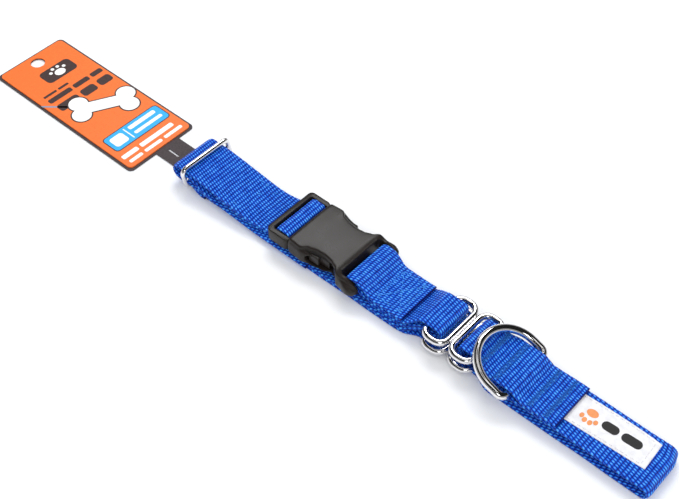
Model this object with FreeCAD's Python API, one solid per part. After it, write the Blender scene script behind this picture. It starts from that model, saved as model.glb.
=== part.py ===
import math
import os

from FreeCAD import Vector
import Part

# Martingale dog collar laid flat and folded double, with its header card.
# Millimetres.  X runs along the collar from the card to the end of the control
# loop, Y across the webbing, Z up from the surface that the collar lies on.
# The pieces are drawn with X = 0 at the slider and Y = 0 on the lower strand,
# and save() moves them so that the origin is under the middle of the whole set.

# ---- driving dimensions ----------------------------------------------------
webbing_width = 19.0          # 3/4 inch nylon webbing
webbing_thick = 1.2
ply_gap = 0.05                # air between two plies, or a ply and a wire
gathered_width = 15.2         # webbing drawn narrower where it passes a ring

slider_wire = 2.0             # wire diameter of the three-bar slider
slider_corner = 1.5           # corner radius on the wire's centre line
slider_bar_spare = 1.9        # slider bar beyond each edge of the webbing
ring_wire = 2.4               # wire diameter of the double-loop rings
ring_corner = 2.6
ring_pitch = 9.8              # ring's middle to each outer bar
ring_bar_spare = 0.8          # ring beyond each edge of the webbing, to its centre line
wrap_slack = 5.8              # how far a fold of webbing hangs past the ring bar it goes round
d_ring_wire = 3.0
d_ring_leg = 5.7              # straight bar to where the bow starts
d_ring_spare = 2.4            # ring beyond each edge of the webbing, to its centre line
d_ring_corner = 2.2

buckle_rail = 1.9             # side rail of the buckle, beside the webbing
buckle_wall = 1.35
male_end_bar = 2.2            # the male half's bar across its webbing end
buckle_cavity_height = 4.0
buckle_bar_radius = 1.2
rail_gap = 0.8                # webbing edge to the buckle's rail
prong_play = 0.35             # prong to cavity, above and below
nose_top_drop = 1.9           # how far the female half tapers down at its webbing end
nose_low_rise = 1.3
past_all = 20.0               # a cutting tool's reach past anything it cuts

card_length = 80.5
card_width = 33.2
card_thick = 0.5
card_corner = 2.0
peg_hole_radius = 3.0
peg_hole_inset = 5.6
tail_width = 11.6
label_length = 29.0
label_width = 11.6
label_thick = 0.3
thread = 0.3                  # height of a line of stitching over the webbing
thread_width = 0.7
fine_thread = 0.15            # height, and half the width, of the label's stitching

# where things stand along the collar, from the slider's bars
card_right = -21.9
fold_left = -7.5
tail_tip = -3.2
male_left = 41.2
seam = 51.3                   # where the two buckle halves meet
female_bar_x = 79.0
female_right = 82.8
ring_x = 120.0
d_ring_x = 145.3
loop_cut_end_x = 164.0
loop_right = 198.5

# how far each piece lies to the side of the lower strand's centre line
ring_side = 1.2
loop_side = 0.3
upper_side = 0.4
short_side = 0.8
buckle_side = 1.0
card_side = -2.3
label_side = 2.0

# ---- levels of the stack ---------------------------------------------------
ply = webbing_thick + ply_gap
half_ply = webbing_thick / 2
level = [half_ply + ply * step for step in range(5)]
wire_pitch = half_ply + ply_gap

low_slider_bar_z = slider_wire / 2
slider_low_ply = slider_wire + wire_pitch
wrap_low_ply = slider_low_ply + ply
mid_slider_bar_z = wrap_low_ply + wire_pitch + slider_wire / 2
wrap_high_ply = mid_slider_bar_z + slider_wire / 2 + wire_pitch
slider_high_ply = wrap_high_ply + ply
top_slider_bar_z = slider_high_ply + wire_pitch + slider_wire / 2

ring_radius = ring_wire / 2
low_ring_z = webbing_thick + ply_gap + ring_radius
ring_wrap = ring_radius + wire_pitch
high_ring_z = low_ring_z + 2 * ring_wrap + ply
left_bar_x = ring_x - ring_pitch
right_bar_x = ring_x + ring_pitch

slack_under_buckle = 1.2      # the plies under the buckle don't lie quite flat
buckle_low = level[1] + half_ply + slack_under_buckle
buckle_high = buckle_low + 2 * buckle_wall + buckle_cavity_height
buckle_mid = (buckle_low + buckle_high) / 2
bar_wrap = buckle_bar_radius + wire_pitch
slot_half = webbing_width / 2 + rail_gap
buckle_half = slot_half + buckle_rail
cavity_half = buckle_half - 1.6      # leaves the wall beside the cavity

loop_top = 4.8                # centre of the control loop's top ply at its end
loop_high_ply = high_ring_z + ring_wrap
d_wrap = d_ring_wire / 2 + wire_pitch
d_ring_z = loop_top - 0.75 + d_wrap
loop_dip_ply = d_ring_z + d_wrap - 0.2
bow_rest_gap = 1.1            # the bow's top over the webbing that it leans on
d_ring_half = webbing_width / 2 + d_ring_spare
d_ring_reach = d_ring_half + d_ring_leg      # straight bar to the top of the bow

# how the short strap climbs from the stack to the upper ring, in two plies
climb_end_x = left_bar_x - 2.2
upper_climb = (high_ring_z + ring_wrap - level[3]) / 0.8167
lower_climb = (high_ring_z - ring_wrap - level[2]) / 0.4537
cut_end_x = climb_end_x - upper_climb - 0.6  # end of the ply that is sewn back on top

card_left = card_right - card_length
middle_x = (card_left + loop_right) / 2
middle_y = card_side


def save(name, shape):
    """Write one piece, moved to the origin under the middle of the set."""
    placed = shape.copy()
    placed.translate(Vector(-middle_x, -middle_y, 0))
    placed.exportStep("parts/" + name + ".step")


def box(x_low, x_high, y_low, y_high, z_low, z_high):
    size = (x_high - x_low, y_high - y_low, z_high - z_low)
    return Part.makeBox(*size, Vector(x_low, y_low, z_low))


def cross_box(x_low, x_high, half, z_low, z_high, side):
    """A box that is centred on the line Y = side."""
    return box(x_low, x_high, side - half, side + half, z_low, z_high)


def cross_rod(x, z, radius, half, side):
    """A round bar along Y."""
    return Part.makeCylinder(radius, 2 * half, Vector(x, side - half, z), Vector(0, 1, 0))


def rounded_path(points, closed=False):
    """Straight runs joined by arcs.  Each point is (position, bend radius).

    Gives a list of ("line", start, end) and ("arc", start, middle, end, centre).
    """
    count = len(points)
    bends = []
    for index, (corner, radius) in enumerate(points):
        if radius == 0:
            bends.append((corner, corner, None))
            continue
        before = (points[index - 1][0] - corner).normalize()
        after = (points[(index + 1) % count][0] - corner).normalize()
        half_angle = before.getAngle(after) / 2
        reach = radius / math.tan(half_angle)
        inward = (before + after).normalize()
        centre = corner + inward * (radius / math.sin(half_angle))
        middle = centre - inward * radius
        bends.append((corner + before * reach, corner + after * reach, (middle, centre)))
    runs = []
    for index, (start, end, bend) in enumerate(bends):
        if bend:
            runs.append(("arc", start, bend[0], end, bend[1]))
        last = index == count - 1
        if last and not closed:
            break
        goal = bends[(index + 1) % count][0]
        if end.distanceToPoint(goal) > 1e-6:
            runs.append(("line", end, goal))
    return runs


def path_edges(runs):
    edges = []
    for run in runs:
        if run[0] == "line":
            edges.append(Part.LineSegment(run[1], run[2]).toShape())
        else:
            edges.append(Part.Arc(run[1], run[2], run[3]).toShape())
    return edges


def offset_run(run, offset):
    """The run moved sideways in the XZ plane by offset, to the left of its direction."""
    if run[0] == "line":
        along = (run[2] - run[1]).normalize()
        shift = Vector(-along.z, 0, along.x) * offset
        return ("line", run[1] + shift, run[2] + shift)
    start, middle, end, centre = run[1:]
    chord = end - start
    turn = (middle - start).cross(chord).y
    sign = 1 if turn > 0 else -1
    radius = start.distanceToPoint(centre)
    scale = (radius + sign * offset) / radius
    moved = [centre + (point - centre) * scale for point in (start, middle, end)]
    return ("arc", moved[0], moved[1], moved[2], centre)


def strap(route, side, width=webbing_width, thick=webbing_thick):
    """Webbing that follows a route of (x, z, bend radius) on its centre line."""
    points = [(Vector(x, side - width / 2, z), radius) for x, z, radius in route]
    runs = rounded_path(points)
    left = path_edges([offset_run(run, thick / 2) for run in runs])
    right = path_edges([offset_run(run, -thick / 2) for run in runs])
    caps = [
        Part.LineSegment(left[0].Vertexes[0].Point, right[0].Vertexes[0].Point).toShape(),
        Part.LineSegment(left[-1].Vertexes[-1].Point, right[-1].Vertexes[-1].Point).toShape(),
    ]
    outline = Part.Wire(Part.__sortEdges__(left + right + caps))
    return Part.Face(outline).extrude(Vector(0, width, 0))


def round_wire(runs, wire_radius):
    """Round wire along straight runs and arcs, from cylinders and turned bends."""
    pieces = []
    for run in runs:
        if run[0] == "line":
            along = run[2] - run[1]
            pieces.append(Part.makeCylinder(wire_radius, along.Length, run[1], along))
            continue
        start, middle, end, centre = run[1:]
        axis = (start - centre).cross(middle - centre)
        tangent = axis.cross(start - centre)
        angle = 2 * math.degrees((start - centre).getAngle(middle - centre))
        section = Part.Face(Part.Wire(Part.makeCircle(wire_radius, start, tangent)))
        pieces.append(section.revolve(centre, axis, angle))
    return pieces[0].fuse(pieces[1:])


def wire_loop(corners, radius, wire_radius):
    """A closed ring of round wire through rounded corners."""
    runs = rounded_path([(corner, radius) for corner in corners], closed=True)
    return round_wire(runs, wire_radius)


def plate(outline, z_low, z_high):
    """A flat plate from a list of ((x, y), corner radius)."""
    points = [(Vector(x, y, z_low), radius) for (x, y), radius in outline]
    runs = rounded_path(points, closed=True)
    face = Part.Face(Part.Wire(path_edges(runs)))
    return face.extrude(Vector(0, 0, z_high - z_low))


def rounded_plate(x_low, x_high, y_low, y_high, radius, z_low, z_high):
    corners = [(x_low, y_low), (x_high, y_low), (x_high, y_high), (x_low, y_high)]
    return plate([(corner, radius) for corner in corners], z_low, z_high)


def gather(shape, x_low, x_high, side):
    """Trim the webbing's edges where it is drawn narrower inside a ring."""
    inner = gathered_width / 2
    outer = webbing_width
    for sign in (-1, 1):
        y_low, y_high = sorted((side + sign * inner, side + sign * outer))
        shape = shape.cut(box(x_low, x_high, y_low, y_high, -1, 3 * high_ring_z))
    return shape


# ---- header card -----------------------------------------------------------
def card_plate(inset, z_low):
    half = card_width / 2 - inset
    card = rounded_plate(card_left + inset, card_right - inset, card_side - half,
                         card_side + half, card_corner, z_low, z_low + card_thick)
    hole_at = Vector(card_left + peg_hole_inset, card_side, z_low - 1)
    return card.cut(Part.makeCylinder(peg_hole_radius, card_thick + 2, hole_at))


def card_back_board():
    """The dark board, with the tail that is tucked under the fold."""
    under_card = 4.0
    half = tail_width / 2
    tail = box(card_right - under_card, tail_tip, -half, half, 0, card_thick)
    slit_start = card_right + 1.7
    slit_length = 5.8
    slit = box(slit_start, slit_start + slit_length, -1.5, -0.6, -1, 1)
    return card_plate(0, 0).fuse(tail).removeSplitter().cut(slit)


def header_card():
    return card_plate(0.4, card_thick)


# ---- webbing ---------------------------------------------------------------
# Each strap is one route along the middle of its thickness, seen from the side.
lower_join_x = 9.0            # where the lower strand meets the upper strand's fold
return_join_x = 60.0          # where the returning ply meets the slider's end loop
sewn_end_x = 15.0             # free end of the ply that is sewn back from the buckle
tail_end_x = 13.6             # cut end of the strap, sewn down beside the slider
strand_low_x = 34.0           # where the top strand has come down to the stack
strand_high_x = 4.0           # where the top strand starts down from the slider
gather_left = left_bar_x - 5.0       # the webbing is gathered between these, at the rings
gather_right = right_bar_x + 3.0
long_bend = 12.0              # slack webbing eases from one level to another
ply_bend = 3.0
male_bar_x = seam - ply_gap - webbing_thick - 2 * ply_gap - buckle_bar_radius - 0.2
male_rise_x = male_left + male_end_bar + half_ply      # just inside the end bar


def lower_webbing():
    """Bottom strand, round the lower ring's left bar and back to the middle."""
    turn_x = left_bar_x + wrap_slack
    wrap_low = low_ring_z - ring_wrap
    wrap_high = low_ring_z + ring_wrap
    route = [
        (lower_join_x, level[0], 0),
        (turn_x, wrap_low, ring_wrap),
        (turn_x, wrap_high, ring_wrap),
        (left_bar_x - 2.2, wrap_high, 4.0),
        (left_bar_x - 7.4, level[1], 4.0),
        (return_join_x, level[1], 0),
    ]
    return gather(strap(route, 0), gather_left, ring_x, ring_side)


def slider_end_loop():
    """The strap's own end, sewn back round the slider's middle bar."""
    turn = slider_wire / 2 + wire_pitch
    route = [
        (return_join_x - ply_gap, level[1], 0),
        (14.0, level[1], 6.0),
        (6.0, wrap_low_ply, 6.0),
        (-turn, wrap_low_ply, turn),
        (-turn, wrap_high_ply, turn),
        (2.4, wrap_high_ply, 2.5),
        (7.8, level[2] + 1.8, 4.0),
        (tail_end_x, level[2] + 0.2, 0),
    ]
    return strap(route, 0)


def strand_z(x):
    """Height of the top strand's centre line on its slope."""
    share = (x - strand_high_x) / (strand_low_x - strand_high_x)
    return slider_high_ply + share * (level[3] - slider_high_ply)


def upper_webbing():
    """Left fold round the slider's end loop, top strand, and the end at the buckle."""
    fold = (slider_high_ply - slider_low_ply) / 2
    fold_x = fold_left + half_ply
    wrap_right = male_bar_x + bar_wrap
    route = [
        (lower_join_x - ply_gap, level[0], 0),
        (6.4, level[0], ply_bend),
        (2.6, slider_low_ply, ply_bend),
        (fold_x, slider_low_ply, fold),
        (fold_x, slider_high_ply, fold),
        (strand_high_x, slider_high_ply, long_bend),
        (strand_low_x, level[3], long_bend),
        (male_rise_x, level[3], 1.5),
        (male_bar_x - 1.2, buckle_mid + bar_wrap, 1.5),
        (wrap_right, buckle_mid + bar_wrap, bar_wrap),
        (wrap_right, buckle_mid - bar_wrap, bar_wrap),
        (male_bar_x - 1.8, buckle_mid - bar_wrap, 2.0),
        (male_rise_x + 0.5, level[2], 2.0),
        (strand_low_x - 0.2, level[2], long_bend),
        (sewn_end_x, strand_z(sewn_end_x) - ply, 0),
    ]
    return strap(route, upper_side)


def short_webbing():
    """Sewn between the buckle's female half and the upper ring."""
    fold_x = female_bar_x - bar_wrap - 0.3
    high = buckle_mid + bar_wrap
    low = buckle_mid - bar_wrap
    turn_x = left_bar_x + wrap_slack
    wrap_low = high_ring_z - ring_wrap
    wrap_high = high_ring_z + ring_wrap
    route = [
        (cut_end_x, level[4], 0),
        (87.5, level[4], 5.0),
        (female_bar_x + 2.3, high, 5.0),
        (fold_x, high, bar_wrap),
        (fold_x, low, bar_wrap),
        (82.5, low, 5.0),
        (85.0, level[3], 5.0),
        (climb_end_x - upper_climb, level[3], ply_bend),
        (climb_end_x, wrap_high, ply_bend),
        (turn_x, wrap_high, ring_wrap),
        (turn_x, wrap_low, ring_wrap),
        (climb_end_x - 0.4, wrap_low, ply_bend),
        (climb_end_x - 0.4 - lower_climb, level[2], ply_bend),
        (86.0, level[2], 0),
    ]
    return gather(strap(route, short_side), gather_left, ring_x, ring_side)


def control_loop():
    """Closed band through both rings' right openings, lapped on its top side."""
    left_x = right_bar_x - wrap_slack
    right_x = loop_right - half_ply
    end_turn = (loop_top - level[0]) / 2
    inner = loop_dip_ply - ply
    over_d = d_ring_z + d_wrap
    under_d = d_ring_z - d_wrap
    lap = loop_top + ply
    route = [
        (right_bar_x + 5.0, inner - 0.05, 0),
        (d_ring_x - 6.6, inner - 0.05, 4.0),
        (d_ring_x - 3.0, under_d, ply_bend),
        (d_ring_x + 2.4, under_d, 8.0),
        (d_ring_x + 6.0, loop_top, 8.0),
        (right_x, loop_top, end_turn),
        (right_x, level[0], end_turn),
        (left_x, level[0], 1.9),
        (left_x, loop_high_ply, 1.9),
        (right_bar_x + 0.8, loop_high_ply, 2.5),
        (right_bar_x + 4.6, loop_dip_ply, 6.0),
        (d_ring_x - 2.5, over_d, 20.0),
        (d_ring_x + 1.3, over_d, 2.0),
        (d_ring_x + 4.9, lap, 2.0),
        (loop_cut_end_x, lap, 0),
    ]
    return gather(strap(route, loop_side), ring_x, gather_right, ring_side)


# ---- metal -----------------------------------------------------------------
def slider():
    half = webbing_width / 2 + slider_bar_spare
    corners = [Vector(0, -half, low_slider_bar_z), Vector(0, half, low_slider_bar_z),
               Vector(0, half, top_slider_bar_z), Vector(0, -half, top_slider_bar_z)]
    frame = wire_loop(corners, slider_corner, slider_wire / 2)
    return frame.fuse(cross_rod(0, mid_slider_bar_z, slider_wire / 2, half, 0))


def double_ring(z, side):
    """A figure of eight: two rounded loops whose inner wires lie side by side."""
    half = webbing_width / 2 + ring_bar_spare
    shape = None
    for sign in (-1, 1):
        inner_x = ring_x + sign * (ring_radius - 0.02)
        outer_x = ring_x + sign * ring_pitch
        corners = [Vector(inner_x, side - half, z), Vector(outer_x, side - half, z),
                   Vector(outer_x, side + half, z), Vector(inner_x, side + half, z)]
        lobe = wire_loop(corners, ring_corner, ring_radius)
        shape = lobe if shape is None else shape.fuse(lobe)
    return shape


def d_ring():
    """A straight bar in the webbing's channel and a bow that lies on the webbing."""
    rest_z = loop_high_ply + wire_pitch + d_ring_wire / 2 + bow_rest_gap
    rise = math.asin((rest_z - d_ring_z) / d_ring_reach)
    along = Vector(-math.cos(rise), 0, math.sin(rise))
    base = Vector(d_ring_x, loop_side, d_ring_z)
    across = Vector(0, d_ring_half, 0)
    shoulder = along * (d_ring_reach - d_ring_half)
    near = base - across
    far = base + across
    legs = rounded_path([(near + shoulder, 0), (near, d_ring_corner),
                         (far, d_ring_corner), (far + shoulder, 0)])
    bow = ("arc", far + shoulder, base + along * d_ring_reach, near + shoulder, base + shoulder)
    return round_wire(legs + [bow], d_ring_wire / 2)


# ---- buckle ----------------------------------------------------------------
cavity_low = buckle_low + buckle_wall
cavity_high = buckle_high - buckle_wall
cavity_right = seam + 20.0
window_left = seam + 7.8
window_right = seam + 18.0
female_slot_left = female_bar_x - 5.4
prong_root_x = seam + 3.7
prong_root_radius = 1.1
prong_centre = cavity_half - 2.9


def buckle_male():
    rail_low = buckle_mid - 1.9
    rail_high = buckle_mid + 1.6
    rails_right = seam - 0.15          # a seam's gap from the female half
    frame = rounded_plate(male_left, rails_right, buckle_side - buckle_half + 0.2,
                          buckle_side + buckle_half - 0.2, 1.6, rail_low, rail_high)
    opening = cross_box(male_left + male_end_bar, rails_right + 1, slot_half, 0, past_all,
                        buckle_side)
    under_bar = cross_box(male_left - 1, male_left + 3, slot_half, 0,
                          level[3] + half_ply + 2 * ply_gap, buckle_side)
    frame = frame.cut(opening).cut(under_bar)
    bar = cross_rod(male_bar_x, buckle_mid, buckle_bar_radius, slot_half + 0.5, buckle_side)
    cross_left = seam - 0.2
    cross_right = seam + 2.5
    low = cavity_low + prong_play
    high = cavity_high - prong_play
    cross_half = slot_half + 0.1
    cross = cross_box(cross_left, cross_right, cross_half, low, high, buckle_side)
    joined_half = slot_half - 0.15       # the rails thicken inward to meet the cross piece
    shoulders = cross_box(seam - 1.5, cross_right, cross_half, low, rail_high, buckle_side)
    gap = cross_box(seam - 2, cross_left + 0.1, joined_half, 0, past_all, buckle_side)
    cross = cross.fuse(shoulders.cut(gap))
    tongue = cross_box(cross_right - 0.5, seam + 15.5, 2.2, buckle_mid - 1.0,
                       buckle_mid + 1.0, buckle_side)
    return frame.fuse([bar, cross, tongue]).removeSplitter()


def release_prong(sign):
    """A side arm with its push button in the window; sign is -1 or +1 for the side."""
    low = cavity_low + prong_play
    high = cavity_high - prong_play
    root_at = Vector(prong_root_x, buckle_side + sign * prong_centre, low)
    root = Part.makeCylinder(prong_root_radius, high - low, root_at)
    inner = prong_centre - prong_root_radius
    outer = prong_centre + prong_root_radius
    tip_x = window_right - 0.9
    button_x = window_left + 0.5
    # each is x, the distance out from the buckle's middle, and the corner radius
    half_outline = [
        (prong_root_x, inner, 0),
        (tip_x - 3.5, inner + 0.4, 0),
        (tip_x, inner + 1.6, 0.8),
        (tip_x, cavity_half - 0.1, 0.8),
        (window_right - 5.2, buckle_half - 0.5, 3.0),
        (button_x, buckle_half - 1.1, 0.6),
        (button_x, outer, 0.4),
        (prong_root_x, outer, 0),
    ]
    outline = [((x, buckle_side + sign * out), radius) for x, out, radius in half_outline]
    return plate(outline, low, high).fuse(root).removeSplitter()


def nose_wedge(z_from, z_to):
    """What is cut from the female half so that it tapers along its webbing slot."""
    right = female_right + 1
    start = Vector(female_slot_left, -past_all, z_from)
    corners = [start, Vector(right, -past_all, z_from), Vector(right, -past_all, z_to), start]
    return Part.Face(Part.makePolygon(corners)).extrude(Vector(0, 2 * past_all, 0))


def buckle_female():
    waist = buckle_half - 2.3
    # each is x, the distance out from the buckle's middle, and the corner radius
    half_outline = [
        (seam, buckle_half - 0.3, 0.8),
        (window_left - 1.6, buckle_half + 0.2, 1.6),
        (window_left + 0.6, waist + 0.5, 1.4),
        (window_right - 0.5, waist - 0.7, 4.0),
        (window_right + 2.8, buckle_half, 4.0),
        (female_right, buckle_half + 0.2, 2.4),
    ]
    outline = [((x, buckle_side + out), radius) for x, out, radius in half_outline]
    outline += [((x, buckle_side - out), radius) for x, out, radius in reversed(half_outline)]
    body = plate(outline, buckle_low, buckle_high)
    body = body.cut(nose_wedge(buckle_high + 0.01, buckle_high - nose_top_drop))
    body = body.cut(nose_wedge(buckle_low - 0.01, buckle_low + nose_low_rise))
    cavity = cross_box(seam - 1, cavity_right, cavity_half, cavity_low, cavity_high, buckle_side)
    windows = cross_box(window_left, window_right, buckle_half + 2, cavity_low,
                        cavity_high, buckle_side)
    slot = cross_box(female_slot_left, female_right + 2, slot_half, 0, past_all, buckle_side)
    bar = cross_rod(female_bar_x, buckle_mid, buckle_bar_radius, slot_half + 0.5, buckle_side)
    return body.cut(cavity.fuse(windows)).cut(slot).fuse(bar).removeSplitter()


# ---- stitching and label ---------------------------------------------------
def stitch_line(x_from, y_from, x_to, y_to, z):
    """A straight line of stitching that lies on a level ply."""
    length = math.hypot(x_to - x_from, y_to - y_from)
    line = Part.makeBox(length, thread_width, thread, Vector(0, -thread_width / 2, 0))
    line.rotate(Vector(0, 0, 0), Vector(0, 0, 1),
                math.degrees(math.atan2(y_to - y_from, x_to - x_from)))
    line.translate(Vector(x_from, y_from, z))
    return line


def box_stitch(x_low, x_high, side, z):
    """A sewn rectangle with one cross in it."""
    half = webbing_width / 2 - 2.2       # the seam keeps clear of the webbing's edges
    low = side - half
    high = side + half
    inset = thread_width
    lines = [
        stitch_line(x_low, low, x_high, low, z),
        stitch_line(x_low, high, x_high, high, z),
        stitch_line(x_low, low + inset, x_low, high - inset, z),
        stitch_line(x_high, low + inset, x_high, high - inset, z),
    ]
    return Part.makeCompound(lines)


def short_strap_stitching():
    return box_stitch(89.0, cut_end_x - 2.9, short_side, level[4] + half_ply)


def buckle_end_stitching():
    """On the top strand beside the buckle; the strand slopes, so the lines do too."""
    slope = math.atan2(slider_high_ply - level[3], strand_low_x - strand_high_x)
    foot = Vector(strand_low_x, 0, level[3])
    flat = box_stitch(strand_low_x - 16.5, strand_low_x - 3.5, upper_side, level[3] + half_ply)
    flat.rotate(foot, Vector(0, 1, 0), math.degrees(slope))
    return flat


def slider_end_stitching():
    half = webbing_width / 2 - 3
    z = level[2] + 1.0 + half_ply        # on the tail where it slopes down to its cut end
    return box(tail_end_x - 2.6, tail_end_x - 1.9, -half, half, z, z + thread)


def bar_tacks():
    """Rows of bar tacks across the control loop, each side of the D ring's channel."""
    half = webbing_width / 2 - 1.8
    lap = loop_top + ply + half_ply
    rows = [cross_box(x, x + 1.6, half, lap, lap + thread, loop_side)
            for x in (d_ring_x + 8.0, d_ring_x + 14.0)]
    high = loop_dip_ply + half_ply + 0.2
    rows.append(cross_box(d_ring_x - 7.2, d_ring_x - 5.6, half, high, high + thread, loop_side))
    return Part.makeCompound(rows)


def woven_label():
    z = loop_top + half_ply
    left = loop_cut_end_x + ply_gap
    right = left + label_length
    return cross_box(left, right, label_width / 2, z, z + label_thick, label_side)


def label_stitching():
    """Fine stitching along three edges of the label; the fourth is under the lap."""
    z = loop_top + half_ply + label_thick
    top = z + fine_thread
    left = loop_cut_end_x + 1.0
    right = loop_cut_end_x + label_length - 1.0
    half = label_width / 2 - 0.9
    lines = []
    for sign in (-1, 1):
        y = label_side + sign * half - fine_thread
        lines.append(box(left, right, y, y + 2 * fine_thread, z, top))
    lines.append(cross_box(right - 2 * fine_thread, right, half - 0.2, z, top, label_side))
    return Part.makeCompound(lines)


os.makedirs("parts", exist_ok=True)
save("header_card", header_card())
save("card_back_board", card_back_board())
save("lower_webbing", lower_webbing())
save("upper_webbing", upper_webbing())
save("slider_end_loop", slider_end_loop())
save("slider_end_stitching", slider_end_stitching())
save("slider", slider())
save("buckle_end_stitching", buckle_end_stitching())
save("buckle_male", buckle_male())
save("release_prong_near", release_prong(-1))
save("release_prong_far", release_prong(1))
save("buckle_female", buckle_female())
save("short_webbing", short_webbing())
save("short_strap_stitching", short_strap_stitching())
save("upper_double_ring", double_ring(high_ring_z, ring_side))
save("lower_double_ring", double_ring(low_ring_z, ring_side))
save("control_loop", control_loop())
save("d_ring", d_ring())
save("bar_tack_stitching", bar_tacks())
save("woven_label", woven_label())
save("label_stitching", label_stitching())
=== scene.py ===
import math

import bmesh
import bpy
from mathutils import Matrix, Vector, noise


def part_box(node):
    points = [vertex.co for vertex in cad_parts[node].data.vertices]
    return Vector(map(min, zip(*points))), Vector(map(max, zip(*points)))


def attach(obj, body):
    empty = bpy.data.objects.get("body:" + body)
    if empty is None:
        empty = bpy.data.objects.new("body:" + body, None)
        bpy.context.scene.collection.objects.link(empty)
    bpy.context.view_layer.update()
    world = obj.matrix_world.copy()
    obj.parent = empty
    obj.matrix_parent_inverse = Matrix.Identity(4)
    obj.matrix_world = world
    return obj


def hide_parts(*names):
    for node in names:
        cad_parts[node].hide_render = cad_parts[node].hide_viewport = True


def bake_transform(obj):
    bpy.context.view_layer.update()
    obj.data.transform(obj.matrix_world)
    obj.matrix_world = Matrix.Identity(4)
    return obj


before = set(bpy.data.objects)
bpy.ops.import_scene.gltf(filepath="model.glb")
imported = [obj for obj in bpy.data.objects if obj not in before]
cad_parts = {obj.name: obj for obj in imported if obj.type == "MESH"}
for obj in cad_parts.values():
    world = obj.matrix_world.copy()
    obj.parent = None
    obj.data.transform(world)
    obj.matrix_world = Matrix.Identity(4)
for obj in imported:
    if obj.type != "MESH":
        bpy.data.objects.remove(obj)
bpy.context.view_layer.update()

# Martingale dog collar laid flat.  Sizes are in millimetres in "collar"
# coordinates: X = 0 at the slider, Y = 0 on the lower strand, Z up from the table.
# at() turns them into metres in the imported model's own frame.
MM = 0.001
slider_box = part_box("slider")
lower_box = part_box("lower_webbing")
zero_x = (slider_box[0].x + slider_box[1].x) / 2
zero_y = (lower_box[0].y + lower_box[1].y) / 2


def at(x, y, z):
    return Vector((x * MM + zero_x, y * MM + zero_y, z * MM))


def smooth_step(value, low, high):
    share = min(1.0, max(0.0, (value - low) / (high - low)))
    return share * share * (3 - 2 * share)


# ---- sizes shared with the CAD model ----------------------------------------
webbing_width = 19.0
webbing_thick = 1.2
ply = 1.25
level = [0.6 + ply * step for step in range(5)]
slider_low_ply = 2.65
slider_wrap_low = 3.9
slider_wrap_high = 7.2
slider_high_ply = 8.45
ring_side = 1.2
ring_x = 120.0
ring_pitch = 9.8
low_ring_z = 2.45
high_ring_z = 7.4
ring_wrap = 1.85
wrap_slack = 5.8                # how far a fold reaches past the left bar
left_bar_x = ring_x - ring_pitch
right_bar_x = ring_x + ring_pitch
seam = 51.3
male_left = 41.2
male_bar_x = 48.55
female_bar_x = 79.0
female_right = 82.8
buckle_side = 1.3
buckle_mid = 7.0
bar_wrap = 1.85
d_ring_x = 145.3
d_ring_z = 6.2
d_wrap = 2.15
loop_side = 0.3
loop_top = 4.8
loop_high_ply = 9.25
loop_dip_ply = 8.15
loop_cut_end_x = 164.0
loop_right = 198.5


# ---- camera, floor and light ------------------------------------------------
def make_camera():
    azimuth = math.radians(41.39)
    elevation = math.radians(49.10)
    roll = math.radians(0.237)
    target = at(62.18, 4.79, 0)
    distance = 428.6 * MM
    back = Vector((math.sin(azimuth) * math.cos(elevation),
                   -math.cos(azimuth) * math.cos(elevation), math.sin(elevation)))
    right = Vector((0, 0, 1)).cross(back).normalized()
    up = back.cross(right)
    turned_right = right * math.cos(roll) + up * math.sin(roll)
    turned_up = up * math.cos(roll) - right * math.sin(roll)
    pose = Matrix((turned_right, turned_up, back)).transposed().to_4x4()
    pose.translation = target + back * distance
    data = bpy.data.cameras.new("product_camera")
    data.lens = 63.81
    data.sensor_width = 36
    data.clip_start = 0.01
    camera = bpy.data.objects.new("product_camera", data)
    bpy.context.scene.collection.objects.link(camera)
    camera.matrix_world = pose
    bpy.context.scene.camera = camera


def area_light(name, place, target, size, power):
    data = bpy.data.lights.new(name, "AREA")
    data.shape = "RECTANGLE"
    data.size = size[0]
    data.size_y = size[1]
    data.energy = power
    light = bpy.data.objects.new(name, data)
    bpy.context.scene.collection.objects.link(light)
    light.location = place
    aim = (Vector(target) - Vector(place)).to_track_quat("-Z", "Y")
    light.rotation_euler = aim.to_euler()


def fill_ramp(spread, stops):
    """Set a colour ramp's stops, each (position, colour)."""
    while len(spread.elements) > 1:
        spread.elements.remove(spread.elements[-1])
    spread.elements[0].position = stops[0][0]
    spread.elements[0].color = (*stops[0][1], 1)
    for position, colour in stops[1:]:
        spread.elements.new(position).color = (*colour, 1)


def make_world():
    """A white tent with a few dark gaps, which the polished wire reflects."""
    world = bpy.data.worlds.new("light_tent")
    bpy.context.scene.world = world
    world.use_nodes = True
    nodes = world.node_tree.nodes
    links = world.node_tree.links
    background = nodes["Background"]
    coordinate = nodes.new("ShaderNodeTexCoord")
    split = nodes.new("ShaderNodeSeparateXYZ")
    links.new(coordinate.outputs["Generated"], split.inputs[0])
    ramp = nodes.new("ShaderNodeValToRGB")
    links.new(split.outputs["Z"], ramp.inputs[0])
    bands = [(0.0, 0.4), (0.45, 0.3), (0.48, 0.01), (0.902, 0.015), (0.912, 1.3),
             (0.945, 1.3), (0.952, 0.03), (0.982, 0.03), (0.988, 1.1), (1.0, 1.1)]
    fill_ramp(ramp.color_ramp, [(position, (grey, grey * 0.985, grey * 0.97))
                                for position, grey in bands])
    path = nodes.new("ShaderNodeLightPath")
    even = nodes.new("ShaderNodeMix")
    even.data_type = "RGBA"
    even.inputs["A"].default_value = (0.95, 0.97, 1.0, 1)
    links.new(path.outputs["Is Glossy Ray"], even.inputs["Factor"])
    links.new(ramp.outputs["Color"], even.inputs["B"])
    links.new(even.outputs["Result"], background.inputs["Color"])
    background.inputs["Strength"].default_value = 0.95


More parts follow.
